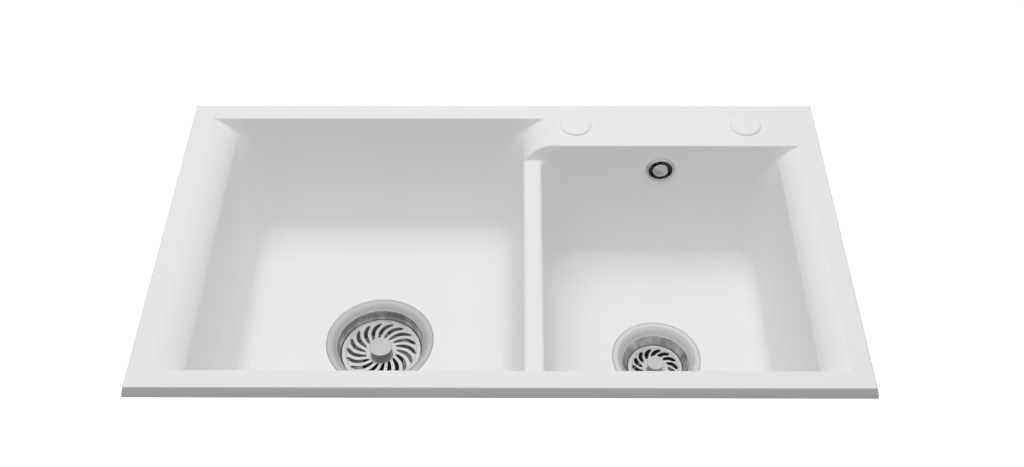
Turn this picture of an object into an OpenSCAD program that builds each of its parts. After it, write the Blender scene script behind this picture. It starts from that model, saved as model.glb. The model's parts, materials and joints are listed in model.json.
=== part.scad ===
// Stone sink with two bowls, a tap ledge, two basket wastes and an overflow.
// Origin: centre of the rim's underside, which lies on the worktop. +Z up, the user stands at -Y.

/* [Rim] */
// Width of the rim at its top, left to right
rim_w = 800; // [760:5:860]
// Depth of the rim at its top, front to back
rim_d = 450; // [435:5:500]
// Height of the rim above the worktop
rim_t = 13.5; // [12:0.5:20]
// Flare of the rim's outer faces, from the top down to the worktop
rim_flare = 3; // [0:0.5:5]
// Width of the band under the rim that rests on the worktop
rest_band = 9; // [6:0.5:10]
// Depth of the sealing step inside that band
seal_step = 1; // [0.5:0.1:2]
// Chamfer along the rim's top edges
rim_chamfer = 1.2; // [0.6:0.1:2]
// Width of the front rim
front_rim = 23.7; // [20:0.1:35]
// Width of the back rim behind the left bowl
back_rim = 25.5; // [20:0.1:35]
// Depth of the tap ledge behind the right bowl
ledge_d = 76.7; // [70:0.1:90]

/* [Bowls] */
// Depth of both bowls below the rim's top
bowl_depth = 200; // [180:5:225]
// Rim's left edge to the left bowl's side wall
left_side = 53.5; // [48:0.5:62]
// Rim's right edge to the right bowl's side wall
right_side = 50; // [46:0.5:60]
// Width of the left bowl between its side walls
left_bowl_w = 371.5; // [340:0.5:390]
// Thickness of the divider at its top
divider_t = 24; // [17:0.5:26]
// Divider's top below the rim's top
divider_drop = 24; // [20:1:26]
// Thickness of the moulded walls and floors
wall_t = 10; // [8:0.5:12]
// Lean of the side walls
side_draft = 4.2; // [2:0.1:6]
// Lean of the front and back walls
end_draft = 2.6; // [1:0.1:4]
// Fillet between the walls and the floor
floor_fillet = 18; // [12:1:24]
// Radius of the upright corners, low in the bowl
corner_r = 24; // [20:1:30]
// Radius of the upright corners at the opening
corner_top_r = 2; // [1.5:0.5:6]
// Depth down to which the upright corners stay tight
corner_hold_h = 5; // [0:1:12]
// Depth at which the upright corners have grown to their full radius
corner_grow_h = 62; // [45:1:80]
// Edge radius at the front and back openings
edge_r = 1.5; // [1:0.5:3]

/* [Rounded sides] */
// Width and depth over which both sides of the left bowl round down from the rim
left_round_r = 31; // [26:1:36]
// Width and depth over which the right bowl's right side rounds down from the rim
right_round_r = 26; // [22:1:33]
// Fullness of the rounded sides: 2 is a quarter circle, less is closer to a chamfer
side_power = 1.5; // [1.3:0.1:2]
// Edge radius of the divider's top
divider_edge_r = 4.5; // [2:0.5:6]

/* [Wastes] */
// Both wastes sit this far in front of the bowls' centres
waste_forward = 6.7; // [0:0.1:12]
// Left waste's place to the right of its bowl's middle
left_waste_shift = 1.5; // [-5:0.5:5]
// Right waste's place to the right of its bowl's middle
right_waste_shift = -3; // [-5:0.5:5]
// Left waste: radius of the flange
left_flange_r = 69; // [66:0.5:74]
// Left waste: radius of the cup's mouth
left_mouth_r = 56; // [53:0.5:57]
// Left waste: depth of the cup's mouth below the bowl's floor
left_mouth_drop = 7; // [4:0.5:9]
// Left waste: radius of the strainer plate
left_plate_r = 52; // [49:0.5:53]
// Left waste: number of slots in the strainer plate
left_slots = 18; // [12:1:20]
// Right waste: radius of the flange
right_flange_r = 56; // [54:0.5:60]
// Right waste: radius of the cup's mouth
right_mouth_r = 42.5; // [41:0.5:46]
// Right waste: depth of the cup's mouth below the bowl's floor
right_mouth_drop = 10; // [8:0.5:11]
// Right waste: radius of the strainer plate
right_plate_r = 35.3; // [34:0.1:38]
// Right waste: number of slots in the strainer plate
right_slots = 14; // [10:1:16]
// Strainer plate's top below the bowl's floor
plate_drop = 20; // [18:1:22]
// Thickness of the pressed steel
steel_t = 1.2; // [0.8:0.1:1.5]
// Height of the strainer plate's turned-down edge
plate_skirt = 6; // [5:0.5:8]
// Width of a strainer slot
slot_w = 5.4; // [3:0.1:6]
// Turn of a strainer slot from its outer to its inner end
slot_turn = 30; // [20:1:40]
// Depth of a cup below the bowl's floor
cup_depth = 48; // [45:1:54]
// Radius of the outlet in a cup's floor
outlet_r = 24; // [22:0.5:25]
// Outside radius of the threaded outlet under each waste
tail_r = 23.9; // [22:0.1:25]
// Length of the threaded outlet
tail_len = 34; // [25:1:45]
// Wall of the plastic waste bodies
body_wall = 3; // [2.5:0.5:4]
// Thickness of the rubber seal under the bowl
body_seal_t = 2; // [1.5:0.5:3]

/* [Strainer lift] */
// Radius of the left knob
knob_r = 15; // [12:0.5:17]
// Radius of the right knob
right_knob_r = 11; // [9:0.5:14]
// Height of the knob above the plate
knob_h = 9.5; // [7:0.5:15]
// Radius of the post under the plate
post_r = 4; // [3:0.5:5]
// Radius of the rubber stopper
stopper_r = 27; // [26:0.5:28]
// Height of the rubber stopper
stopper_h = 8; // [7:0.5:10]

/* [Overflow] */
// Overflow's place to the right of the right bowl's middle
overflow_shift = 2.5; // [-10:0.5:10]
// Overflow's centre below the rim's top
overflow_drop = 40.6; // [38:0.1:50]
// Radius of the overflow's face ring
ring_r = 19; // [18:0.5:21]
// Radius of the overflow's mouth
ring_mouth_r = 15; // [13:0.5:15]
// Radius of the centre cap
cap_r = 10; // [9:0.1:11.5]
// The cap's edge stands out from the wall
cap_rise = 1.5; // [0:0.5:3]
// Depth of the elbow behind the bowl
elbow_d = 24; // [22:1:30]
// Outside radius of the overflow hose on its ribs
hose_r = 12.5; // [12:0.5:14]
// Bend radius of the hose under the bowl
hose_bend = 44; // [40:1:55]
// Spacing of the hose's ribs
rib_pitch = 5; // [4:0.5:8]

/* [Tap holes] */
// Tap hole to the right of the divider's middle
tap_x = 56; // [45:0.5:70]
// Dispenser hole from the rim's right edge
dispenser_side = 90; // [80:1:110]
// Radius of the tap and dispenser holes
tap_hole_r = 17.5; // [16:0.5:17.5]
// Radius of the covers on both holes
cover_r = 20; // [19.5:0.5:22]
// Height of the covers at their middle
cover_h = 3.4; // [3:0.1:5]
// Length of a cover's threaded stud under the cover
stud_len = 48; // [42:1:60]
// Radius of a cover's threaded stud
stud_r = 4; // [3:0.5:5]

/* [Hidden] */

$fn = 96;
eps = 0.01;
// Gap between pieces that must not touch
clear = 0.3;

// Bowl walls at the level where a rounded side has become a wall
left_wall_x = -rim_w / 2 + left_side;
divider_left_x = left_wall_x + left_bowl_w;
divider_right_x = divider_left_x + divider_t;
right_wall_x = rim_w / 2 - right_side;
front_y = -rim_d / 2 + front_rim;
back_y = rim_d / 2 - back_rim;
ledge_y = rim_d / 2 - ledge_d;
floor_z = rim_t - bowl_depth;
under_z = floor_z - wall_t;
// Depth of the web between the bowls below the divider's top
web_h = 24;

// Steps in each arc and corner
arc_steps = 9;
corner_steps = 7;
fillet_steps = 6;

// Wastes: places and the levels that stack below the bowl's floor
left_waste = [(left_wall_x + divider_left_x) / 2 + left_waste_shift,
    (front_y + back_y) / 2 - waste_forward];
right_waste = [(divider_right_x + right_wall_x) / 2 + right_waste_shift,
    (front_y + ledge_y) / 2 - waste_forward];
flange_rise = 1.2;
flange_flat_share = 0.45;
recess_depth = 2.5;
recess_gap = 0.5;
pad_t = 2;
pad_w = 12;
body_flange_t = 4;
body_top = -wall_t - pad_t - body_seal_t;
skirt_low = -plate_drop - plate_skirt;
ledge_step = 2.5;
cup_turn = 4;
screw_r = 4;
screw_head_r = 8;
screw_head_h = 3;
hub_r = 9;
spoke_w = 5;
insert_r = 6.5;
insert_h = 8;
body_floor = -cup_depth - steel_t - insert_h - 6;
left_travel_seat = left_plate_r + 0.6;
right_travel_seat = right_plate_r + 0.6;

// Overflow: a frame on the leaning back wall of the right bowl
overflow_x = (divider_right_x + right_wall_x) / 2 + overflow_shift;
overflow_y = ledge_y - overflow_drop * tan(end_draft);
overflow_z = rim_t - overflow_drop;
sleeve_t = 1.5;
sleeve_len = wall_t - 1;
ring_face_t = 2;
gasket_t = 3;
gasket_w = 6;
elbow_r = ring_mouth_r + sleeve_t + gasket_w;
elbow_wall = 2.5;
cap_stud_r = 3;
cap_face_t = 3;
spigot_bore = 7.2;
hose_bore = hose_r - 3;
spigot_r = hose_bore - 0.15;
spigot_len = 15;
cuff_len = 16;
hose_y = ledge_y + wall_t + gasket_t + elbow_d / 2;
hose_top_z = overflow_z - elbow_r - 4;
inlet_z = floor_z + body_top - body_flange_t - hose_r - 5;
inlet_wall_y = right_waste[1] + right_mouth_r + 2 + body_wall;
hose_end_y = inlet_wall_y + 4;
clip_t = 1.6;
clip_w = 9;

// Tap holes in the ledge
tap_hole = [(divider_left_x + divider_right_x) / 2 + tap_x, (ledge_y + rim_d / 2) / 2];
dispenser_hole = [rim_w / 2 - dispenser_side, tap_hole[1]];
cover_seal_t = 1;
cover_lip = 1.4;
ledge_under = -rim_t + seal_step;
clamp_washer_r = 22;
clamp_washer_t = 2.5;
clamp_spigot_h = 4;
wing_nut_h = 8;

// Colours
stone = [0.93, 0.93, 0.94];
steel = [0.74, 0.75, 0.76];
rubber = [0.12, 0.12, 0.13];
plastic = [0.86, 0.86, 0.84];
brass = [0.78, 0.64, 0.32];

// Distance of a side rounded over r from its wall line at a depth below the rim's top.
// Negative is away from the bowl, where the edge opens out.
function side_inset(d, r) =
    (max(0, d) - r) * tan(side_draft)
    - (d >= r ? 0 :
        r * (1 - pow(1 - pow(1 - max(0, d) / r, side_power), 1 / side_power)));

// Depth of a rounded side at a share of its curve, from 0 at the rim to 1 at the wall
function round_at(share, r) = r * (1 - pow(cos(90 * share), 2 / side_power));

// Distance of a front or back wall from its opening edge
function end_inset(d) = d <= 0 ? -edge_r : edge_curve(d) + d * tan(end_draft);
function edge_curve(d) = d < edge_r ? -edge_r + sqrt(pow(edge_r, 2) - pow(edge_r - d, 2)) : 0;

// Distance of the divider's right face from its wall line
function divider_inset(d) =
    let (e = d - divider_drop)
    (e <= 0 ? -divider_edge_r :
    e < divider_edge_r ?
        -divider_edge_r + sqrt(pow(divider_edge_r, 2) - pow(divider_edge_r - e, 2)) : 0)
    + max(0, e) * tan(side_draft);

// Radius of an upright corner: tight at the opening, where the rounded sides are flat
function corner_at(d) =
    let (t = min(1, max(0, d - corner_hold_h) / (corner_grow_h - corner_hold_h)))
    corner_top_r + (corner_r - corner_top_r) * t * t * (3 - 2 * t);

// Extra inset and depth along the floor fillet, at an angle from the wall
fillet_start = bowl_depth - floor_fillet;
function fillet_inset(a) = floor_fillet * (1 - cos(a));
function fillet_depth(a) = fillet_start + floor_fillet * sin(a);

// Depths along the edges of the front and back openings
edge_depths = [for (a = [30, 60, 90]) edge_r * (1 - cos(a))];

// Depths of the left bowl's rings above its floor fillet
left_depths = concat(
    [-2, 0],
    edge_depths,
    [for (i = [1 : arc_steps])
        let (d = round_at(i / arc_steps, left_round_r))
        if (d > edge_r + 0.3) d],
    [for (d = [6, 12, 19, 27, 36, 70]) left_round_r + d],
    [fillet_start]);

// Depths of the right bowl's rings: its rounded side down to the divider's top, the divider's
// edge, and the walls
right_depths = concat(
    [-2, 0],
    edge_depths,
    [for (i = [1 : arc_steps])
        let (d = round_at(i / arc_steps, right_round_r))
        if (d > edge_r + 0.3 && d < divider_drop - 1) d],
    [for (i = [0 : 4]) divider_drop + divider_edge_r * (1 - cos(22.5 * i))],
    [for (d = [4, 9, 15, 22, 30, 40, 75]) divider_drop + divider_edge_r + d],
    [fillet_start]);

// One ring of points: a rectangle with rounded corners at a height z
function ring(x0, x1, y0, y1, r, z, steps) = [
    for (c = [[x1 - r, y1 - r, 0], [x0 + r, y1 - r, 90], [x0 + r, y0 + r, 180], [x1 - r, y0 + r, 270]])
        for (i = [0 : steps])
            let (a = c[2] + 90 * i / steps)
            [c[0] + r * cos(a), c[1] + r * sin(a), z]];

// Rings of the left bowl's inside
function left_rings() = concat(
    [for (d = left_depths) left_ring(d, 0, d)],
    [for (i = [1 : fillet_steps])
        let (a = 90 * i / fillet_steps)
        left_ring(fillet_start, fillet_inset(a), fillet_depth(a))]);

function left_ring(d, extra, depth) =
    let (side = side_inset(d, left_round_r) + extra, end = end_inset(d) + extra)
    ring(left_wall_x + side, divider_left_x - side, front_y + end, back_y - end,
        max(1.5, corner_at(d) - extra), rim_t - depth, corner_steps);

// Rings of the right bowl's inside, whose left side is the divider
function right_rings() = concat(
    [for (d = right_depths) right_ring(d, 0, d)],
    [for (i = [1 : fillet_steps])
        let (a = 90 * i / fillet_steps)
        right_ring(fillet_start, fillet_inset(a), fillet_depth(a))]);

function right_ring(d, extra, depth) =
    let (end = end_inset(d) + extra)
    ring(divider_right_x + divider_inset(d) + extra,
        right_wall_x - side_inset(d, right_round_r) - extra, front_y + end, ledge_y - end,
        max(1.5, corner_at(d) - extra), rim_t - depth, corner_steps);

// Solid through a list of rings with the same number of points, top ring first
module loft(rings) {
    n = len(rings[0]);
    m = len(rings);
    polyhedron(
        points = [for (r = rings) each r],
        faces = concat(
            [[for (i = [n - 1 : -1 : 0]) i]],
            [for (k = [0 : m - 2], i = [0 : n - 1])
                let (j = (i + 1) % n)
                [k * n + i, k * n + j, (k + 1) * n + j]],
            [for (k = [0 : m - 2], i = [0 : n - 1])
                let (j = (i + 1) % n)
                [k * n + i, (k + 1) * n + j, (k + 1) * n + i]],
            [[for (i = [0 : n - 1]) (m - 1) * n + i]]));
}

module left_hollow() {
    loft(left_rings());
}

module right_hollow() {
    loft(right_rings());
}

// Outside of a bowl: its walls' lean, thickened, with a haunch under the rounded sides
haunch = 13;
function outer_ring(x0, x1, y0, y1, d, extra, flare_left, flare_right) =
    let (lean = max(0, d - left_round_r) * tan(side_draft),
        flare = max(0, haunch - (d - rim_t)),
        r = corner_r + wall_t - extra)
    ring(x0 - wall_t + lean - flare * flare_left + extra,
        x1 + wall_t - lean + flare * flare_right - extra,
        y0 - wall_t + d * tan(end_draft) + extra,
        y1 + wall_t - d * tan(end_draft) - extra,
        r, rim_t - d, 4);

function shell_rings(x0, x1, y0, y1, flare_left, flare_right) =
    let (r = floor_fillet + wall_t, start = bowl_depth - floor_fillet)
    concat(
        [for (d = [rim_t - 3, rim_t, rim_t + haunch, start])
            outer_ring(x0, x1, y0, y1, d, 0, flare_left, flare_right)],
        [for (a = [22.5, 45, 67.5, 90])
            let (flat = outer_ring(x0, x1, y0, y1, start, r * (1 - cos(a)), 0, 0))
            [for (p = flat) [p[0], p[1], rim_t - start - r * sin(a)]]]);

// Rim with chamfered top edges, flared outer faces and, inside the band that rests on the
// worktop, a step for sealant
module rim_slab() {
    difference() {
        intersection() {
            rotate([90, 0, 0])
                linear_extrude(rim_d + 2 * rim_flare + 2, center = true)
                    rim_profile(rim_w / 2);
            rotate([90, 0, 90])
                linear_extrude(rim_w + 2 * rim_flare + 2, center = true)
                    rim_profile(rim_d / 2);
        }
        translate([-rim_w / 2 + rest_band, -rim_d / 2 + rest_band, -1])
            cube([rim_w - 2 * rest_band, rim_d - 2 * rest_band, seal_step + 1]);
    }
}

module rim_profile(half) {
    polygon([
        [-half - rim_flare, 0], [half + rim_flare, 0],
        [half, rim_t - rim_chamfer], [half - rim_chamfer, rim_t],
        [-half + rim_chamfer, rim_t], [-half, rim_t - rim_chamfer]]);
}

// Opening over the lowered divider, whose ends follow the leaning end walls
module divider_gap() {
    lean = divider_drop * tan(end_draft);
    reach = corner_r + 2;
    translate([divider_left_x - reach, 0, 0])
        rotate([90, 0, 90])
            linear_extrude(divider_t + 2 * reach)
                polygon([
                    [front_y - edge_r, rim_t + 2], [front_y - edge_r, rim_t],
                    [front_y + edge_r * tan(end_draft), rim_t - edge_r],
                    [front_y + lean, rim_t - divider_drop],
                    [ledge_y - lean, rim_t - divider_drop],
                    [ledge_y - edge_r * tan(end_draft), rim_t - edge_r],
                    [ledge_y + edge_r, rim_t], [ledge_y + edge_r, rim_t + 2]]);
}

// Rounds the divider's left edge, from the front corner to the ledge. The curve leaves the
// divider's top level and runs into the bowl's side at the side's own slope.
module divider_left_edge() {
    lean = divider_drop * tan(end_draft);
    start = front_y + corner_at(divider_drop);
    low = divider_drop + divider_edge_r;
    foot = -side_inset(low, left_round_r);
    slope = (side_inset(low + 0.5, left_round_r) - side_inset(low - 0.5, left_round_r));
    crest = foot + divider_edge_r * slope;
    a = [crest + divider_edge_r, -divider_drop];
    b = [crest, -divider_drop];
    c = [foot, -low];
    translate([divider_left_x, ledge_y - lean, rim_t])
        rotate([90, 0, 0])
            linear_extrude(ledge_y - lean - start)
                polygon(concat(
                    [for (t = [0 : 0.2 : 1.01]) (1 - t) * (1 - t) * a + 2 * t * (1 - t) * b + t * t * c],
                    [[foot - 4, -low], [foot - 4, -divider_drop + 1], [a[0], -divider_drop + 1]]));
}

// Solid web that joins the two bowls under the divider's top and fills its ends up to the rim
module divider_web() {
    reach = corner_r + 4;
    low = rim_t - divider_drop - web_h;
    translate([divider_left_x - reach, front_y - wall_t + 2, low])
        cube([divider_t + 2 * reach, ledge_y - front_y + 2 * wall_t - 4, seal_step + 2 - low]);
}

function stone_hole_r(flange_r, mouth_r) = mouth_r + (flange_r - mouth_r) * flange_flat_share + 0.5;

module waste_pad(place, flange_r, mouth_r) {
    translate([place[0], place[1], under_z - pad_t])
        cylinder(r = stone_hole_r(flange_r, mouth_r) + pad_w, h = pad_t + 1);
}

module waste_cut(place, flange_r, mouth_r) {
    translate([place[0], place[1], under_z - pad_t - 1])
        cylinder(r = stone_hole_r(flange_r, mouth_r), h = wall_t + pad_t + 2);
    translate([place[0], place[1], floor_z - recess_depth])
        cylinder(r = flange_r + recess_gap, h = recess_depth + 1);
}

// Local frame on the right bowl's back wall: z points out of the wall into the bowl
module at_overflow() {
    translate([overflow_x, overflow_y, overflow_z])
        rotate([90 - end_draft, 0, 0])
            children();
}

module sink_body() {
    color(stone)
        difference() {
            union() {
                rim_slab();
                loft(shell_rings(left_wall_x, divider_left_x, front_y, back_y, 1, 1));
                loft(shell_rings(divider_right_x, right_wall_x, front_y, ledge_y, 0, 1));
                divider_web();
                waste_pad(left_waste, left_flange_r, left_mouth_r);
                waste_pad(right_waste, right_flange_r, right_mouth_r);
            }
            left_hollow();
            right_hollow();
            divider_gap();
            divider_left_edge();
            waste_cut(left_waste, left_flange_r, left_mouth_r);
            waste_cut(right_waste, right_flange_r, right_mouth_r);
            at_overflow()
                translate([0, 0, -wall_t - 4])
                    cylinder(r = ring_mouth_r + sleeve_t + 0.5, h = wall_t + 8);
            for (h = [tap_hole, dispenser_hole])
                translate([h[0], h[1], -1])
                    cylinder(r = tap_hole_r, h = rim_t + 2);
        }
}

// Waste pieces are drawn about their own axis, with z = 0 on the bowl's floor
module at_waste(place) {
    translate([place[0], place[1], floor_z])
        children();
}

// Pressed steel flange and cup in one piece, with three spokes across its outlet
module strainer_cup(flange_r, mouth_r, mouth_drop, seat_r) {
    t = steel_t;
    flat_r = stone_hole_r(flange_r, mouth_r) + 1;
    low_r = seat_r - ledge_step;
    foot_r = low_r - cup_turn;
    color(steel) {
        rotate_extrude()
            polygon([
                [flange_r, 0], [flange_r - 0.6, flange_rise * 0.7], [flange_r - 2, flange_rise],
                [flat_r, flange_rise * 0.6], [(flat_r + mouth_r) / 2, -mouth_drop * 0.3],
                [mouth_r, -mouth_drop], [seat_r, -plate_drop], [seat_r, skirt_low - clear],
                [low_r, skirt_low - clear], [low_r - 1, -cup_depth + cup_turn],
                [foot_r + 1, -cup_depth + 1], [foot_r - 1, -cup_depth], [outlet_r, -cup_depth],
                [outlet_r, -cup_depth - t], [foot_r - 0.4, -cup_depth - t],
                [foot_r + 2, -cup_depth + 0.4], [low_r + t - 1, -cup_depth + cup_turn - 0.4],
                [low_r + t, skirt_low - clear - t], [seat_r + t, skirt_low - clear - t],
                [seat_r + t, -plate_drop - 0.2], [mouth_r + t * 1.05, -mouth_drop - 0.5],
                [(flat_r + mouth_r) / 2 + 0.5, -mouth_drop * 0.3 - t],
                [flat_r, flange_rise * 0.6 - t], [flange_r - 2, flange_rise - t],
                [flange_r - 1.2, -0.4], [flange_r - 0.4, -0.4]]);
        difference() {
            translate([0, 0, -cup_depth - t])
                union() {
                    cylinder(r = hub_r, h = t);
                    for (a = [90, 210, 330])
                        rotate([0, 0, a])
                            translate([0, -spoke_w / 2, 0])
                                cube([outlet_r + 1, spoke_w, t]);
                }
            translate([0, 0, -cup_depth - t - 1])
                cylinder(r = screw_r + clear, h = t + 2, $fn = 48);
        }
    }
}

// Flat rubber ring
module flat_ring(inner_r, outer_r, low, height) {
    rotate_extrude()
        polygon([
            [inner_r, low], [outer_r, low], [outer_r, low + height], [inner_r, low + height]]);
}

module flange_seal(flange_r, mouth_r) {
    hole = stone_hole_r(flange_r, mouth_r);
    top = flange_rise * 0.6 - steel_t;
    color(rubber)
        flat_ring(hole + 1, flange_r - 2, -recess_depth, recess_depth + top);
}

module body_seal(flange_r, mouth_r) {
    hole = stone_hole_r(flange_r, mouth_r);
    color(rubber)
        flat_ring(hole + 0.5, hole + pad_w, body_top, body_seal_t);
}

// Plastic housing under the bowl, clamped up to it by the centre screw
module waste_body(flange_r, mouth_r) {
    hole = stone_hole_r(flange_r, mouth_r);
    in_r = mouth_r + 2;
    low_r = in_r - 4;
    bore_r = tail_r - body_wall;
    tail_top = body_floor - body_wall;
    tail_low = tail_top - tail_len;
    difference() {
        union() {
            rotate_extrude()
                polygon([
                    [in_r, body_top], [hole + pad_w, body_top],
                    [hole + pad_w, body_top - body_flange_t],
                    [in_r + body_wall + 1.5, body_top - body_flange_t],
                    [in_r + body_wall, body_top - body_flange_t - 1.5],
                    [low_r + body_wall, body_floor + 8], [low_r - 4, body_floor - body_wall],
                    [tail_r + 2, tail_top], [tail_r + 2, tail_top - 3], [tail_r, tail_top - 3],
                    [tail_r, tail_low + 1.5], [tail_r - 1.5, tail_low], [bore_r, tail_low],
                    [bore_r, body_floor], [low_r - 7, body_floor], [low_r, body_floor + 9]]);
            intersection() {
                union() {
                    translate([0, 0, -cup_depth - steel_t - insert_h - 4])
                        cylinder(r = hub_r + 1, h = insert_h + 4);
                    for (a = [30, 150, 270])
                        rotate([0, 0, a])
                            translate([0, -1.6, body_floor - 1])
                                cube([low_r + 1, 3.2, -cup_depth - steel_t - body_floor + 1]);
                }
                translate([0, 0, body_floor - 1])
                    cylinder(r1 = low_r - 5, r2 = low_r + 2, h = -cup_depth - body_floor);
            }
        }
        translate([0, 0, -cup_depth - steel_t - insert_h])
            cylinder(r = insert_r, h = insert_h + 1, $fn = 48);
        translate([0, 0, -cup_depth - steel_t - insert_h - 5])
            cylinder(r = screw_r + clear, h = 6, $fn = 48);
    }
}

// Right waste's housing, with a side inlet for the overflow hose
module inlet_body() {
    rise = inlet_z - floor_z;
    side = overflow_x - right_waste[0];
    low_r = right_mouth_r - 2;
    difference() {
        union() {
            waste_body(right_flange_r, right_mouth_r);
            translate([side, low_r, rise])
                rotate([-90, 0, 0])
                    cylinder(r = spigot_r + 2, h = hose_end_y - right_waste[1] - low_r);
            translate([side, hose_end_y - right_waste[1] - eps, rise])
                rotate([-90, 0, 0])
                    cylinder(r = spigot_r, h = spigot_len);
        }
        translate([side, low_r - 6, rise])
            rotate([-90, 0, 0])
                cylinder(r = spigot_bore, h = spigot_len + 30);
    }
}

// Countersunk-slot pan screw through the cup's hub into the insert
module clamp_screw() {
    head_low = -cup_depth;
    color(steel)
        difference() {
            union() {
                rotate_extrude()
                    polygon([
                        [0, head_low - steel_t - insert_h - 3], [screw_r, head_low - steel_t - insert_h - 3],
                        [screw_r, head_low], [screw_head_r, head_low], [screw_head_r, head_low + 1.2],
                        [screw_head_r - 2, head_low + screw_head_h], [0, head_low + screw_head_h]]);
            }
            translate([-screw_head_r, -0.8, head_low + 1.6])
                cube([2 * screw_head_r, 1.6, 3]);
        }
}

// Threaded insert moulded into the housing's hub
module screw_insert() {
    color(brass)
        translate([0, 0, -cup_depth - steel_t - insert_h])
            difference() {
                cylinder(r = insert_r - 0.02, h = insert_h - clear, $fn = 48);
                translate([0, 0, -1])
                    cylinder(r = screw_r + 0.02, h = insert_h + 2, $fn = 48);
            }
}

// Outline of one curved slot, from its outer end r1 in to its inner end r0
slot_steps = 8;
function slot_line(r0, r1, t) =
    let (r = r1 + (r0 - r1) * t, a = slot_turn * (t + 0.25 * sin(180 * t) * (1 - t)))
    [r * cos(a), r * sin(a)];
function slot_edge(r0, r1, side) = [
    for (i = [0 : slot_steps])
        let (t = i / slot_steps,
            p = slot_line(r0, r1, t),
            q = slot_line(r0, r1, t + 0.01),
            u = (q - p) / norm(q - p),
            w = slot_w / 2 * min(1, 0.62 + 0.9 * (1 - t)) * sqrt(1 - pow(2 * t - 1, 6) * 0.75))
        p + side * w * [-u[1], u[0]]];
module slot_shape(r0, r1) {
    upper = slot_edge(r0, r1, 1);
    lower = slot_edge(r0, r1, -1);
    polygon(concat(upper, [for (i = [slot_steps : -1 : 0]) lower[i]]));
}

// Pressed strainer plate: swirl of slots inside a raised ring, with a turned-down edge
module strainer_plate(r, slots) {
    t = steel_t;
    ring_w = 5.5;
    step = 0.8;
    low = skirt_low;
    color(steel)
        difference() {
            translate([0, 0, -plate_drop])
                rotate_extrude()
                    polygon([
                        [post_r, -step], [r - ring_w - step, -step], [r - ring_w, 0], [r - 1.4, 0],
                        [r - 0.4, -0.4], [r, -1.4], [r, -plate_skirt], [r - t, -plate_skirt],
                        [r - t, -t - 0.4], [r - ring_w + 0.3, -t],
                        [r - ring_w - step + 0.3, -step - t], [post_r, -step - t]]);
            for (i = [0 : slots - 1])
                rotate([0, 0, 360 * i / slots - 6])
                    translate([0, 0, -plate_drop - 4])
                        linear_extrude(8)
                            slot_shape(slot_inner(r), r - ring_w - step - 0.8);
        }
}
function slot_inner(r) = 8.5 + r * 0.22;

// Turned lifting knob: a flat disc on a thin neck, undercut to grip
module strainer_knob(knob_radius) {
    base = -plate_drop - 0.8;
    h = knob_h + 0.8;
    r = knob_radius;
    neck = post_r + 0.6;
    color(steel)
        translate([0, 0, base])
            rotate_extrude()
                polygon([
                    [post_r - 1, 0], [neck + 1.2, 0], [neck + 0.3, 0.8], [neck, h * 0.3],
                    [neck, h * 0.62], [r * 0.55, h * 0.69], [r * 0.94, h * 0.74],
                    [r, h * 0.79], [r, h * 0.9], [r * 0.97, h * 0.96], [r * 0.9, h],
                    [0, h], [0, h * 0.6], [post_r - 1, h * 0.6]]);
}

// Post through the plate, held in the knob above and in the stopper below
module strainer_post() {
    low = -cup_depth + clear + screw_head_h + 2;
    top = -plate_drop - 0.8 + (knob_h + 0.8) * 0.6;
    plate_low = -plate_drop - 0.8 - steel_t;
    color(steel)
        rotate_extrude()
            polygon([
                [0, low], [post_r - 1, low], [post_r - 1, low + 3], [post_r + 2, low + 3],
                [post_r + 2, low + 4.2], [post_r, low + 4.2], [post_r, plate_low - 2.4],
                [post_r + 3, plate_low - 1.2], [post_r + 3, plate_low],
                [post_r - 1, plate_low], [post_r - 1, top], [0, top]]);
}

// Rubber stopper with a sealing lip, hollow over the screw's head
module stopper() {
    low = -cup_depth + clear;
    socket = low + screw_head_h + 2;
    top = low + stopper_h;
    color(rubber)
        rotate_extrude()
            polygon([
                [screw_head_r + 1.5, low], [stopper_r - 2, low], [stopper_r, low + 1.2],
                [stopper_r - 0.6, low + 2.6], [stopper_r - 4, low + 3.4], [stopper_r - 8, top],
                [post_r - 0.98, top], [post_r - 0.98, socket - 1],
                [screw_head_r + 1.5, socket - 1]]);
}

// Chromed ring on the bowl's wall with a sleeve through the stone
module overflow_ring() {
    color(steel)
        at_overflow()
            rotate_extrude()
                polygon([
                    [ring_mouth_r, -sleeve_len], [ring_mouth_r + sleeve_t, -sleeve_len],
                    [ring_mouth_r + sleeve_t, 0], [ring_r - 0.3, 0], [ring_r, 0.5],
                    [ring_r - 0.6, 1.2], [ring_r - 2, ring_face_t], [ring_mouth_r + 0.8, ring_face_t],
                    [ring_mouth_r, ring_face_t - 0.8]]);
}

// Centre cap on a threaded stud that draws the ring and the elbow together
module overflow_cap() {
    low = -wall_t - gasket_t - elbow_d + elbow_wall + 6;
    back = cap_rise - cap_face_t + 1;
    color(steel)
        at_overflow()
            rotate_extrude()
                polygon([
                    [0, low], [cap_stud_r, low], [cap_stud_r, back],
                    [cap_r - 1.5, back], [cap_r, back + 1], [cap_r, cap_rise],
                    [cap_r - 0.7, cap_rise + 1], [cap_r - 2.5, cap_rise + 1.6], [0, cap_rise + 2]]);
}

module overflow_gasket() {
    color(rubber)
        at_overflow()
            flat_ring(ring_mouth_r + sleeve_t + 1, elbow_r, -wall_t - gasket_t, gasket_t);
}

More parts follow.
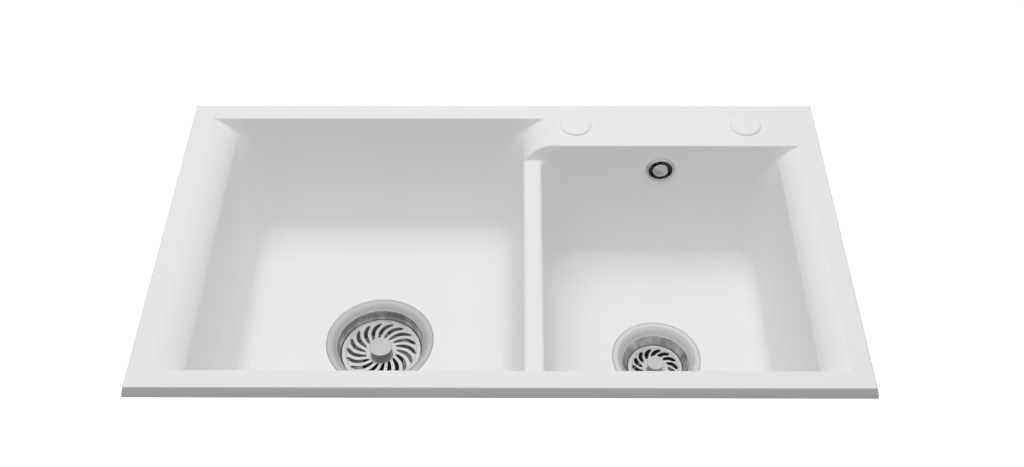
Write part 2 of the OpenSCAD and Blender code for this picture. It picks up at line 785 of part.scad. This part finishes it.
// Round plastic elbow behind the bowl, open at the front, with a spigot pointing down
module overflow_elbow() {
    mouth = -wall_t - gasket_t;
    back = mouth - elbow_d;
    color(plastic)
        difference() {
            union() {
                at_overflow()
                    rotate_extrude()
                        polygon([
                            [0, back], [elbow_r - 3, back], [elbow_r, back + 3], [elbow_r, mouth],
                            [elbow_r - elbow_wall, mouth], [elbow_r - elbow_wall, back + elbow_wall],
                            [0, back + elbow_wall]]);
                at_overflow()
                    translate([0, 0, back + 1])
                        cylinder(r = cap_stud_r + 2.5, h = elbow_d - 6, $fn = 48);
                translate([overflow_x, hose_y, hose_top_z])
                    cylinder(r = spigot_r + 1.6, h = 8);
                translate([overflow_x, hose_y, hose_top_z - spigot_len])
                    cylinder(r = spigot_r, h = spigot_len + 1);
            }
            translate([overflow_x, hose_y, hose_top_z - spigot_len - 1])
                cylinder(r = spigot_bore, h = spigot_len + 9 + elbow_wall);
            at_overflow()
                translate([0, 0, back + elbow_wall])
                    cylinder(r = cap_stud_r + 0.02, h = elbow_d, $fn = 48);
        }
}

// Centre line of the ribbed hose: down behind the bowl, round a bend, forward to the inlet
hose_drop = hose_top_z - cuff_len - inlet_z - hose_bend;
hose_run = hose_y - hose_bend - hose_end_y - cuff_len;
hose_turn = hose_bend * PI / 2;
function hose_point(s) =
    s < hose_drop ? [hose_y, hose_top_z - cuff_len - s] :
    s < hose_drop + hose_turn ?
        let (a = (s - hose_drop) / hose_bend * 180 / PI)
        [hose_y - hose_bend * (1 - cos(a)), inlet_z + hose_bend * (1 - sin(a))] :
    [hose_y - hose_bend - (s - hose_drop - hose_turn), inlet_z];
function hose_tilt(s) = min(90, max(0, (s - hose_drop) / hose_bend * 180 / PI));
hose_len = hose_drop + hose_turn + hose_run;
ribs = round(hose_len / rib_pitch);
hose_sides = 8;

function hose_ring(s, r) =
    let (p = hose_point(s), a = hose_tilt(s))
    [for (i = [0 : hose_sides - 1])
        let (b = 360 * i / hose_sides, u = r * cos(b), v = r * sin(b))
        [overflow_x + u, p[0] + v * cos(a), p[1] - v * sin(a)]];

module ribbed_hose() {
    outside = [for (i = [0 : 2 * ribs])
        hose_ring(hose_len * i / (2 * ribs), i == 0 || i == 2 * ribs || i % 2 == 1 ? hose_r : hose_r - 1.6)];
    inside_steps = ceil(hose_len / 8);
    inside = [for (i = [0 : inside_steps])
        hose_ring(hose_len * (1 - i / inside_steps), hose_bore)];
    rings = concat(outside, inside);
    n = hose_sides;
    m = len(rings);
    polyhedron(
        points = [for (r = rings) each r],
        faces = concat(
            [for (k = [0 : m - 1], i = [0 : n - 1])
                let (j = (i + 1) % n, q = (k + 1) % m)
                [k * n + i, k * n + j, q * n + j]],
            [for (k = [0 : m - 1], i = [0 : n - 1])
                let (j = (i + 1) % n, q = (k + 1) % m)
                [k * n + i, q * n + j, q * n + i]]));
}

module hose_cuff() {
    difference() {
        cylinder(r = hose_r, h = cuff_len);
        translate([0, 0, -1])
            cylinder(r = hose_bore, h = cuff_len + 2);
    }
}

module overflow_hose() {
    color([0.8, 0.8, 0.78]) {
        ribbed_hose();
        translate([overflow_x, hose_y, hose_top_z - cuff_len])
            hose_cuff();
        translate([overflow_x, hose_end_y, inlet_z])
            rotate([-90, 0, 0])
                hose_cuff();
    }
}

// Worm-drive clips round both ends of the hose
module hose_clip() {
    difference() {
        union() {
            cylinder(r = hose_r + 0.05 + clip_t, h = clip_w);
            translate([hose_r - 1, -4, 0.5])
                cube([clip_t + 6, 8, clip_w - 1]);
            translate([hose_r + clip_t + 3.5, -8, clip_w / 2])
                rotate([-90, 0, 0])
                    cylinder(r = 3, h = 16, $fn = 32);
        }
        translate([0, 0, -1])
            cylinder(r = hose_r + 0.05, h = clip_w + 2);
    }
}

module hose_clips() {
    color(steel) {
        translate([overflow_x, hose_y, hose_top_z - 4 - clip_w])
            hose_clip();
        translate([overflow_x, hose_end_y + 4, inlet_z])
            rotate([-90, 0, 0])
                hose_clip();
    }
}

// Covers over the tap and dispenser holes, drawn with z = 0 on the ledge
module at_ledge(hole) {
    translate([hole[0], hole[1], rim_t])
        children();
}

module hole_cover() {
    s = cover_seal_t;
    color([0.96, 0.96, 0.96])
        rotate_extrude()
            polygon([
                [0, -stud_len], [stud_r - 0.6, -stud_len], [stud_r, -stud_len + 0.8], [stud_r, s],
                [cover_r - cover_lip, s], [cover_r - cover_lip, 0.1], [cover_r - 0.2, 0.1],
                [cover_r, 0.5], [cover_r - 0.2, s + cover_h * 0.3],
                [cover_r - 1.4, s + cover_h * 0.6], [cover_r - 4.5, s + cover_h * 0.82],
                [cover_r * 0.4, s + cover_h * 0.97], [0, s + cover_h]]);
}

// Flat seal inside the cover's lip
module cover_seal() {
    color(rubber)
        flat_ring(tap_hole_r - 4, cover_r - cover_lip - 0.1, 0, cover_seal_t);
}

// Cup washer that centres itself in the hole from below
module cover_washer() {
    u = ledge_under;
    color(plastic)
        rotate_extrude()
            polygon([
                [stud_r + clear, u - clamp_washer_t], [clamp_washer_r, u - clamp_washer_t],
                [clamp_washer_r, u], [tap_hole_r - 0.5, u],
                [tap_hole_r - 1, u + clamp_spigot_h], [stud_r + clear, u + clamp_spigot_h]]);
}

module cover_nut() {
    low = ledge_under - clamp_washer_t - wing_nut_h;
    color(plastic)
        difference() {
            union() {
                translate([0, 0, low])
                    cylinder(r1 = stud_r + 3, r2 = stud_r + 5, h = wing_nut_h, $fn = 48);
                for (a = [0, 180])
                    rotate([0, 0, a])
                        translate([stud_r + 1, -1.5, low - 5])
                            rotate([0, -14, 0])
                                cube([9, 3, wing_nut_h + 3]);
            }
            translate([0, 0, low - 6])
                cylinder(r = stud_r + 0.02, h = wing_nut_h + 12, $fn = 48);
        }
}

sink_body();

at_waste(left_waste) strainer_cup(left_flange_r, left_mouth_r, left_mouth_drop, left_travel_seat);  // left_strainer_cup
at_waste(left_waste) flange_seal(left_flange_r, left_mouth_r);  // left_flange_seal
at_waste(left_waste) body_seal(left_flange_r, left_mouth_r);  // left_body_seal
color(plastic) at_waste(left_waste) waste_body(left_flange_r, left_mouth_r);  // left_waste_body
at_waste(left_waste) clamp_screw();  // left_clamp_screw
at_waste(left_waste) screw_insert();  // left_screw_insert
at_waste(left_waste) strainer_plate(left_plate_r, left_slots);  // left_strainer_plate
at_waste(left_waste) strainer_knob(knob_r);  // left_strainer_knob
at_waste(left_waste) strainer_post();  // left_strainer_post
at_waste(left_waste) stopper();  // left_stopper

at_waste(right_waste)  // right_strainer_cup
        strainer_cup(right_flange_r, right_mouth_r, right_mouth_drop, right_travel_seat);
at_waste(right_waste) flange_seal(right_flange_r, right_mouth_r);  // right_flange_seal
at_waste(right_waste) body_seal(right_flange_r, right_mouth_r);  // right_body_seal
color(plastic) at_waste(right_waste) inlet_body();  // right_waste_body
at_waste(right_waste) clamp_screw();  // right_clamp_screw
at_waste(right_waste) screw_insert();  // right_screw_insert
at_waste(right_waste) strainer_plate(right_plate_r, right_slots);  // right_strainer_plate
at_waste(right_waste) strainer_knob(right_knob_r);  // right_strainer_knob
at_waste(right_waste) strainer_post();  // right_strainer_post
at_waste(right_waste) stopper();  // right_stopper

overflow_ring();
overflow_cap();
overflow_gasket();
overflow_elbow();
overflow_hose();
hose_clips();

at_ledge(tap_hole) hole_cover();  // tap_hole_cover
at_ledge(tap_hole) cover_seal();  // tap_cover_seal
at_ledge(tap_hole) cover_washer();  // tap_cover_washer
at_ledge(tap_hole) cover_nut();  // tap_cover_nut
at_ledge(dispenser_hole) hole_cover();  // dispenser_hole_cover
at_ledge(dispenser_hole) cover_seal();  // dispenser_cover_seal
at_ledge(dispenser_hole) cover_washer();  // dispenser_cover_washer
at_ledge(dispenser_hole) cover_nut();  // dispenser_cover_nut
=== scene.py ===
"""Looks of the moulded stone sink: finishes, smooth skins for its pieces, worktop and light."""

import json
import math

import bmesh
import bpy
from mathutils import Matrix, Vector


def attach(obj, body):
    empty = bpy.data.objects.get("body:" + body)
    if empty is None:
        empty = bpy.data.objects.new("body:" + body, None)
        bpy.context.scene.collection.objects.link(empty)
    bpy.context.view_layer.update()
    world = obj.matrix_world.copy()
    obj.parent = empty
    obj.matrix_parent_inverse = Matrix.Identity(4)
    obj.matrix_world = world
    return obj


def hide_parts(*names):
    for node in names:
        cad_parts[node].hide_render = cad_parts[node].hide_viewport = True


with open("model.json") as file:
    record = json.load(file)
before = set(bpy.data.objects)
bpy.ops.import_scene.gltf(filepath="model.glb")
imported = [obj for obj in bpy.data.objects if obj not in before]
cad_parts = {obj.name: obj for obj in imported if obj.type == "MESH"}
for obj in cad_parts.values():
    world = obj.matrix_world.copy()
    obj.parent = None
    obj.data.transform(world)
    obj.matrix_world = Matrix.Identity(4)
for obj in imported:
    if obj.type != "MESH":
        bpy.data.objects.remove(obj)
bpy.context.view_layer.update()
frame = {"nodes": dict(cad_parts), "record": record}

MM = 0.001

# Places and levels of the CAD model, in millimetres
FLOOR = -186.5
LEFT_WASTE = (-159.25, -7.6)
LEFT_MOUTH_DROP = 7.0
RIGHT_WASTE = (196.5, -33.2)
RIGHT_MOUTH_DROP = 10.0

# The overflow's hose, in millimetres: from HOSE_TOP it drops at HOSE_Y, bends forward and runs on
# at the level HOSE_LOW to HOSE_END
HOSE_X = 202.0
HOSE_Y = 173.3
HOSE_TOP = -53.6
HOSE_LOW = -222.0
HOSE_END = 18.3
HOSE_BEND = 44.0
HOSE_R = 12.5
HOSE_WALL = 3.0
CUFF = 16.0
CUFF_EDGE = 0.6
RIB_PITCH = 5.0
RIB_DEPTH = 1.8

# Making pieces: lengths in metres, angles in degrees
WELD = 0.000002
FLAT_ANGLE = 0.4
SINK_SHARP = 34.0
PIECE_SHARP = 32.0
PIECE_EDGE = 0.25 * MM
HOSE_SHARP = 50.0

# Worktop and floor, in metres
CUTOUT_HALF = (0.390, 0.215)
WORKTOP_HALF = (0.480, 0.350)
WORKTOP_THICK = 0.024
FLOOR_HALF = 9
FLOOR_LEVEL = -0.9

# Light and camera: strength of the even light from all round, glow of the white surfaces, colour
# of the lamp, and the view of the photograph
SKY = 0.33
GLOW = 0.7
COOL_WHITE = (0.965, 0.985, 1.0)
LENS = 43.496
CAMERA_PLACE = (0.02003, -0.99070, 1.08526)
CAMERA_TURN = (0.744927, 0.003029, 0.004493)


# Finishes

# Colour sockets of a Mix node
MIX_FIRST, MIX_SECOND, MIX_RESULT = 6, 7, 2

# Spacing of the buffing marks on turned steel, in metres
BUFFING = 0.0007


def grey(tone):
    return (tone, tone, tone)


class Value:
    """A shader socket that takes part in ordinary arithmetic."""

    def __init__(self, nodes, socket):
        self.nodes = nodes
        self.socket = socket

    def math(self, operation, *values):
        return self.nodes.node("ShaderNodeMath", {"operation": operation}, list(values))

    def __add__(self, other):
        return self.math("ADD", self, other)

    __radd__ = __add__

    def __sub__(self, other):
        return self.math("SUBTRACT", self, other)

    def __rsub__(self, other):
        return self.math("SUBTRACT", other, self)

    def __mul__(self, other):
        return self.math("MULTIPLY", self, other)

    __rmul__ = __mul__

    def between(self, low, high):
        """0 below low, 1 above high and a straight line in the middle."""
        return self.nodes.node("ShaderNodeMapRange", {"clamp": True},
                               {"Value": self, "From Min": low, "From Max": high})

    def beside(self, output):
        """Another output of the same node."""
        return Value(self.nodes, self.socket.node.outputs[output])


class Nodes:
    """The node tree of a material or of the world."""

    def __init__(self, tree):
        self.tree = tree

    def node(self, kind, settings=None, sockets=None, output=0):
        """A new node from its type, its settings and the values or links of its sockets."""
        made = self.tree.nodes.new(kind)
        for key, value in (settings or {}).items():
            setattr(made, key, value)
        pairs = sockets.items() if isinstance(sockets, dict) else enumerate(sockets or [])
        for key, value in pairs:
            if isinstance(value, Value):
                self.tree.links.new(value.socket, made.inputs[key])
            else:
                made.inputs[key].default_value = value
        return Value(self, made.outputs[output])

    def show_instead(self, real, shown, output):
        """Shows one shader to the camera, also in mirrors, while another stays in the light."""
        path = self.node("ShaderNodeLightPath", output="Is Camera Ray")
        seen = path
        for ray in ("Is Glossy Ray", "Is Transmission Ray"):
            seen = seen.math("MAXIMUM", seen, path.beside(ray))
        mix = self.node("ShaderNodeMixShader", {}, [seen, real, shown])
        self.tree.links.new(mix.socket, self.tree.nodes[output].inputs["Surface"])


class Finish(Nodes):
    """One material, built from expressions. What set() links replaces its plain values."""

    def __init__(self, name, base, roughness, metallic=0.0):
        self.material = bpy.data.materials.new(name)
        self.material.use_nodes = True
        super().__init__(self.material.node_tree)
        self.surface = self.tree.nodes["Principled BSDF"]
        self.set("Base Color", (*base, 1.0))
        self.set("Roughness", roughness)
        self.set("Metallic", metallic)

    def set(self, socket, value):
        target = self.surface.inputs[socket]
        if isinstance(value, Value):
            self.tree.links.new(value.socket, target)
        else:
            target.default_value = value

    def place(self, centre=(0, 0, 0), scale=(1, 1, 1)):
        """Object coordinates in metres, seen from a centre and stretched by a scale."""
        coordinates = self.node("ShaderNodeTexCoord", output="Object")
        return self.node("ShaderNodeMapping", {"vector_type": "POINT"}, {
            "Vector": coordinates, "Location": [-c * s for c, s in zip(centre, scale)],
            "Scale": scale})

    def noise(self, where, scale, detail):
        return self.node("ShaderNodeTexNoise", {}, {
            "Vector": where, "Scale": scale, "Detail": detail, "Roughness": 0.5})

    def height(self):
        """Object Z in metres."""
        coordinates = self.node("ShaderNodeTexCoord", output="Object")
        return self.node("ShaderNodeSeparateXYZ", {}, [coordinates], output="Z")

    def rings(self, centre, spacing):
        """Noise along the radius only, as a lathe or a spinning buff leaves it."""
        flat = self.place((centre[0] * MM, centre[1] * MM, 0), (1, 1, 0))
        radius = self.node("ShaderNodeVectorMath", {"operation": "LENGTH"}, [flat], output="Value")
        return self.node("ShaderNodeTexNoise", {"noise_dimensions": "1D"}, {
            "W": radius, "Scale": 1 / spacing, "Detail": 3.0, "Roughness": 0.6})

    def blend(self, factor, first, second):
        """A colour between two colours."""
        first, second = (c if isinstance(c, Value) else (*c, 1.0) for c in (first, second))
        return self.node("ShaderNodeMix", {"data_type": "RGBA"}, {
            "Factor": factor, MIX_FIRST: first, MIX_SECOND: second}, output=MIX_RESULT)

    def bump(self, height, distance, strength):
        self.set("Normal", self.node("ShaderNodeBump", {}, {
            "Height": height, "Distance": distance, "Strength": strength}))


def moulded_stone():
    """White quartz and resin: fine pale grains just under a satin skin."""
    stone = Finish("moulded_stone", (0.905, 0.905, 0.91), 0.42)
    where = stone.place()
    grain = stone.noise(where, scale=1400, detail=2.0)
    cloud = stone.noise(where, scale=9, detail=2.0)
    flecks = grain.between(0.58, 0.72)
    white = stone.blend(cloud, (0.940, 0.942, 0.948), (0.955, 0.955, 0.958))
    stone.set("Base Color", stone.blend(flecks * 0.5, white, (0.89, 0.89, 0.90)))
    stone.set("Roughness", 0.38 + grain * 0.1 + cloud * 0.04)
    stone.bump(grain, distance=0.00006, strength=0.25)
    return stone.material


def pressed_steel(name, centre):
    """Satin stainless steel, buffed round the waste's axis, with faint water marks."""
    steel = Finish(name, (0.66, 0.66, 0.65), 0.27, 1.0)
    buffing = steel.rings(centre, BUFFING)
    smudge = steel.noise(steel.place(), scale=55, detail=3.0)
    steel.set("Base Color", steel.blend(smudge, grey(0.67), (0.77, 0.77, 0.765)))
    steel.set("Roughness", 0.16 + buffing * 0.16 + smudge * 0.08)
    steel.bump(buffing, distance=0.00004, strength=0.35)
    return steel.material


def cup_steel(name, centre, mouth, painted_dish_grey):
    """Waste cup: a brushed dish in a painted grey that stands in for its reflection, a painted
    highlight as a pale lip at the mouth's level, and a wall below it darkened with painted shade
    and blotched with stains.
    """
    steel = Finish(name, (0.66, 0.66, 0.65), 0.4, 1.0)
    buffing = steel.rings(centre, BUFFING)
    height = steel.height()
    dish = height.between((mouth - 0.5) * MM, (mouth + 0.1) * MM)
    above = height.between((mouth + 1.0) * MM, (mouth + 1.8) * MM)
    # Below the mouth the wall gets painted shade: a dark grey broken up by stains
    stain_and_shade_blotches = steel.noise(steel.place(scale=(1, 1, 0.3)), scale=60, detail=3.0).between(0.35, 0.7)
    wall_shade_and_stains = steel.blend(stain_and_shade_blotches, grey(0.36), (0.85, 0.85, 0.84))
    # Painted highlight: a pale band just above the mouth; the dish above it takes a painted grey
    # in place of its reflection
    pale = steel.blend(above, grey(0.88), grey(painted_dish_grey))
    steel.set("Base Color", steel.blend(dish, wall_shade_and_stains, pale))
    steel.set("Roughness", 0.3 + dish * 0.12 + buffing * 0.12)
    steel.set("Metallic", 1.0 - dish * 0.7)
    steel.bump(buffing, distance=0.00004, strength=0.3)
    return steel.material


def smudged_steel(name, metallic, tones, gloss, dulling):
    """Steel between two tones, with faint smudges and a fine, uneven skin."""
    steel = Finish(name, grey(0.6), gloss, metallic)
    smudge = steel.noise(steel.place(), scale=90, detail=3.0)
    steel.set("Base Color", steel.blend(smudge, grey(tones[0]), grey(tones[1])))
    steel.set("Roughness", gloss + smudge * dulling)
    steel.bump(steel.noise(steel.place(), scale=420, detail=1.0), distance=0.00002, strength=0.2)
    return steel.material


def seal_rubber():
    """Black rubber with a greyish bloom."""
    rubber = Finish("seal_rubber", (0.035, 0.035, 0.037), 0.6)
    where = rubber.place()
    bloom = rubber.noise(where, scale=140, detail=3.0)
    rubber.set("Base Color", rubber.blend(bloom, (0.026, 0.026, 0.028), (0.06, 0.06, 0.062)))
    rubber.set("Roughness", 0.5 + bloom * 0.25)
    rubber.bump(rubber.noise(where, scale=2600, detail=1.0), distance=0.00003, strength=0.3)
    return rubber.material


def moulded_plastic(name, base, gloss):
    """Injection moulded plastic with a fine spark-eroded skin and slight sink marks."""
    plastic = Finish(name, base, gloss)
    where = plastic.place()
    skin = plastic.noise(where, scale=3200, detail=1.0)
    patches = plastic.noise(where, scale=38, detail=2.0)
    darker = tuple(c * 0.94 for c in base)
    plastic.set("Base Color", plastic.blend(patches, darker, base))
    plastic.set("Roughness", gloss + patches * 0.1)
    plastic.bump(skin * 0.3 + patches, distance=0.00008, strength=0.2)
    return plastic.material


def machined_brass():
    """Brass with turning marks along its height."""
    brass = Finish("machined_brass", (0.62, 0.45, 0.19), 0.3, 1.0)
    turning = brass.noise(brass.place(scale=(1, 1, 40)), scale=60, detail=2.0)
    brass.set("Roughness", 0.24 + turning * 0.2)
    brass.bump(turning, distance=0.00004, strength=0.3)
    return brass.material


STONE = moulded_stone()
LEFT_STEEL = pressed_steel("left_pressed_steel", LEFT_WASTE)
RIGHT_STEEL = pressed_steel("right_pressed_steel", RIGHT_WASTE)
# The dish greys are painted light and shade: darker on the left waste, lighter on the right
LEFT_CUP = cup_steel("left_cup_steel", LEFT_WASTE, FLOOR - LEFT_MOUTH_DROP, 0.60)
RIGHT_CUP = cup_steel("right_cup_steel", RIGHT_WASTE, FLOOR - RIGHT_MOUTH_DROP, 0.75)
POLISHED = smudged_steel("polished_steel", 1.0, (0.46, 0.55), gloss=0.2, dulling=0.14)
KNOB_STEEL = smudged_steel("knob_steel", 0.35, (0.62, 0.70), gloss=0.38, dulling=0.12)
RUBBER = seal_rubber()
WASTE_PLASTIC = moulded_plastic("waste_plastic", (0.78, 0.78, 0.76), 0.36)
HOSE_PLASTIC = moulded_plastic("hose_plastic", (0.70, 0.70, 0.69), 0.42)
COVER_PLASTIC = moulded_plastic("cover_plastic", (0.98, 0.98, 0.98), 0.25)
BRASS = machined_brass()

SLOT_FINISH = {
    "stone": STONE, "brushed_steel": LEFT_STEEL, "polished_steel": POLISHED,
    "seal_rubber": RUBBER, "stopper_rubber": RUBBER, "waste_plastic": WASTE_PLASTIC,
    "hose_plastic": HOSE_PLASTIC, "cover_plastic": COVER_PLASTIC, "brass": BRASS}
NODE_SLOT = {s["node"]: s["material_slot"] for s in frame["record"]["subparts"]}
NODE_BODY = {node: body for body, nodes in frame["record"]["behaviour"]["bodies"].items()
             for node in nodes}


def finish_of(node):
    if node.endswith("_strainer_cup"):
        return LEFT_CUP if node.startswith("left_") else RIGHT_CUP
    if node.endswith("_strainer_knob"):
        return KNOB_STEEL
    if NODE_SLOT[node] == "brushed_steel" and node.startswith("right_"):
        return RIGHT_STEEL
    return SLOT_FINISH[NODE_SLOT[node]]


# Making pieces

def flowing_normals(mesh, limit):
    """Corner normals that flow round moulded edges and leave the large flat faces flat."""
    near = math.cos(math.radians(limit))
    meeting = [[] for vertex in mesh.vertices]
    for face in mesh.polygons:
        for index in face.vertices:
            meeting[index].append(face)
    normals = []
    for face in mesh.polygons:
        for index in face.vertices:
            total = Vector((0, 0, 0))
            for other in meeting[index]:
                if other.normal.dot(face.normal) > near:
                    total += other.normal * other.area
            normals.append(total.normalized())
    mesh.normals_split_custom_set(normals)


def keep(form, name, node, sharp, edge=0.0, flowing=False):
    """Turns a bmesh into a piece that stands for a CAD node."""
    mesh = bpy.data.meshes.new(name)
    form.to_mesh(mesh)
    form.free()
    mesh.polygons.foreach_set("use_smooth", [True] * len(mesh.polygons))
    if not flowing:
        mesh.set_sharp_from_angle(angle=math.radians(sharp))
    mesh.materials.append(finish_of(node))
    piece = bpy.data.objects.new(name, mesh)
    bpy.context.collection.objects.link(piece)
    if edge:
        bevel = piece.modifiers.new("edges", "BEVEL")
        bevel.limit_method = "ANGLE"
        bevel.angle_limit = math.radians(sharp)
        bevel.width = edge
        bevel.segments = 2
        bevel.use_clamp_overlap = True
        bevel.harden_normals = False
    if flowing:
        flowing_normals(mesh, sharp)
    else:
        shading = piece.modifiers.new("shading", "WEIGHTED_NORMAL")
        shading.keep_sharp = True
    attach(piece, NODE_BODY[node])
    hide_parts(node)


def softened(node, sharp, edge=0.0, flowing=False):
    """A smooth-shaded copy of a CAD node with its mesh joined up."""
    form = bmesh.new()
    form.from_mesh(frame["nodes"][node].data)
    bmesh.ops.remove_doubles(form, verts=form.verts, dist=WELD)
    bmesh.ops.dissolve_limit(form, angle_limit=math.radians(FLAT_ANGLE), verts=form.verts,
                             edges=form.edges, use_dissolve_boundaries=False)
    keep(form, node + "_skin", node, sharp, edge, flowing)


def corrugated_hose():
    """Smooth ribbed hose with plain cuffs, along the CAD hose's own route."""
    around = 28
    rib_steps = 8
    bore_steps = 40
    top = (HOSE_Y, HOSE_TOP - CUFF)
    drop = top[1] - HOSE_LOW - HOSE_BEND
    run = top[0] - HOSE_BEND - HOSE_END - CUFF
    turn = HOSE_BEND * math.pi / 2
    length = drop + turn + run
    bore_r = HOSE_R - HOSE_WALL

    def station(s):
        """Centre (y, z) and tilt of the hose s millimetres past its upper cuff."""
        if s < drop:
            return top[0], top[1] - s, 0.0
        if s < drop + turn:
            tilt = (s - drop) / HOSE_BEND
            return (top[0] - HOSE_BEND * (1 - math.cos(tilt)),
                    HOSE_LOW + HOSE_BEND * (1 - math.sin(tilt)), tilt)
        return top[0] - HOSE_BEND - (s - drop - turn), HOSE_LOW, math.pi / 2

    # Distances along the hose with its radius there: upper cuff, ribs, lower cuff, bore
    outside = [(-CUFF, bore_r), (-CUFF, HOSE_R - CUFF_EDGE), (CUFF_EDGE - CUFF, HOSE_R),
               (-CUFF_EDGE, HOSE_R), (0, HOSE_R - 0.5)]
    steps = rib_steps * round(length / RIB_PITCH)
    for i in range(steps + 1):
        swell = 0.5 - 0.5 * math.cos(2 * math.pi * i / rib_steps)
        outside.append((length * i / steps, HOSE_R - RIB_DEPTH + RIB_DEPTH * swell ** 0.7))
    outside += [(length + CUFF_EDGE, HOSE_R), (length + CUFF - CUFF_EDGE, HOSE_R),
                (length + CUFF, HOSE_R - CUFF_EDGE), (length + CUFF, bore_r)]
    bore = [(length + CUFF - (length + 2 * CUFF) * i / bore_steps, bore_r)
            for i in range(1, bore_steps)]

    form = bmesh.new()
    loops = []
    for s, radius in outside + bore:
        y, z, tilt = station(s)
        loop = []
        for k in range(around):
            a = 2 * math.pi * k / around
            u, v = radius * math.cos(a), radius * math.sin(a)
            loop.append(form.verts.new(((HOSE_X + u) * MM, (y + v * math.cos(tilt)) * MM,
                                        (z - v * math.sin(tilt)) * MM)))
        loops.append(loop)
    for first, second in zip(loops, loops[1:] + loops[:1]):
        for k in range(around):
            n = (k + 1) % around
            form.faces.new((first[k], first[n], second[n], second[k]))
    bmesh.ops.recalc_face_normals(form, faces=form.faces)
    keep(form, "overflow_hose_skin", "overflow_hose", HOSE_SHARP)


softened("sink_body", SINK_SHARP, flowing=True)
corrugated_hose()
for name in frame["nodes"]:
    if name not in ("sink_body", "overflow_hose"):
        softened(name, PIECE_SHARP, PIECE_EDGE)


# Worktop and floor, which aren't part of the object

def studio_white(name, light):
    """Pale surface that shows as white to the camera and still takes a shadow."""
    pale = Finish(name, grey(light), 0.9)
    bright = pale.node("ShaderNodeBsdfDiffuse", {}, {"Color": (0.98, 0.98, 0.98, 1)})
    glow = pale.node("ShaderNodeEmission", {}, {"Strength": GLOW})
    both = pale.node("ShaderNodeAddShader", {}, [bright, glow])
    pale.show_instead(Value(pale, pale.surface.outputs[0]), both, "Material Output")
    return pale.material


def prop(name, form, *materials):
    """An object of the setting, made from a bmesh."""
    mesh = bpy.data.meshes.new(name)
    form.to_mesh(mesh)
    form.free()
    thing = bpy.data.objects.new(name, mesh)
    bpy.context.collection.objects.link(thing)
    for material in materials:
        mesh.materials.append(material)
    return thing


def worktop():
    """Slab with a cut-out that carries the sink's rim, white on top and grey at its edges."""
    form = bmesh.new()
    loops = []
    for half_x, half_y in (CUTOUT_HALF, WORKTOP_HALF):
        # A circle of four segments, turned and scaled into a rectangle
        made = bmesh.ops.create_circle(form, cap_ends=False, segments=4, radius=math.sqrt(2))
        bmesh.ops.rotate(form, verts=made["verts"], cent=(0, 0, 0),
                         matrix=Matrix.Rotation(math.radians(45), 3, "Z"))
        bmesh.ops.scale(form, verts=made["verts"], vec=(half_x, half_y, 1))
        loops += [e for e in form.edges if e.verts[0] in made["verts"] and e not in loops]
    faces = bmesh.ops.bridge_loops(form, edges=loops)["faces"]
    low = bmesh.ops.extrude_face_region(form, geom=faces)["geom"]
    bmesh.ops.translate(form, vec=(0, 0, -WORKTOP_THICK),
                        verts=[v for v in low if isinstance(v, bmesh.types.BMVert)])
    bmesh.ops.recalc_face_normals(form, faces=form.faces)
    slab = prop("worktop", form, studio_white("worktop_white", 0.02),
                Finish("worktop_edge", (0.62, 0.62, 0.63), 0.5).material)
    for face in slab.data.polygons:
        face.material_index = 0 if abs(face.normal.z) > 0.5 else 1
    return slab


def floor():
    """Wide white ground below the worktop."""
    form = bmesh.new()
    bmesh.ops.create_grid(form, x_segments=1, y_segments=1, size=FLOOR_HALF)
    bmesh.ops.translate(form, vec=(0, 0, FLOOR_LEVEL), verts=form.verts)
    return prop("floor", form, studio_white("floor_white", 0.7))


worktop()
floor()


# Light, background and camera

def softbox(name, power, size, place, aim):
    """Large soft light, itself out of the camera's sight."""
    light = bpy.data.lights.new(name, "AREA")
    light.shape = "RECTANGLE"
    light.size, light.size_y = size
    light.energy = power
    light.color = COOL_WHITE
    lamp = bpy.data.objects.new(name, light)
    lamp.location = place
    lamp.rotation_euler = (Vector(aim) - Vector(place)).to_track_quat("-Z", "Y").to_euler()
    bpy.context.collection.objects.link(lamp)
    lamp.visible_camera = False
    lamp.visible_glossy = False


def surroundings(strength):
    """Dim, even light from all round, which the camera sees as white."""
    world = bpy.data.worlds.new("studio")
    bpy.context.scene.world = world
    world.use_nodes = True
    sky = Nodes(world.node_tree)
    dim = sky.tree.nodes["Background"]
    dim.inputs["Color"].default_value = (1, 1, 1, 1)
    dim.inputs["Strength"].default_value = strength
    white = sky.node("ShaderNodeBackground", {}, {"Color": (1, 1, 1, 1), "Strength": 1.0})
    sky.show_instead(Value(sky, dim.outputs[0]), white, "World Output")


surroundings(SKY)
softbox("overhead", power=22.9, size=(1.7, 1.4), place=(-0.1, 0.2, 1.9), aim=(0, 0, 0))

view = bpy.data.cameras.new("photograph")
view.sensor_width = 36
view.lens = LENS
camera = bpy.data.objects.new("photograph", view)
camera.location = CAMERA_PLACE
camera.rotation_euler = CAMERA_TURN
bpy.context.collection.objects.link(camera)
bpy.context.scene.camera = camera
bpy.context.scene.view_settings.view_transform = "Standard"
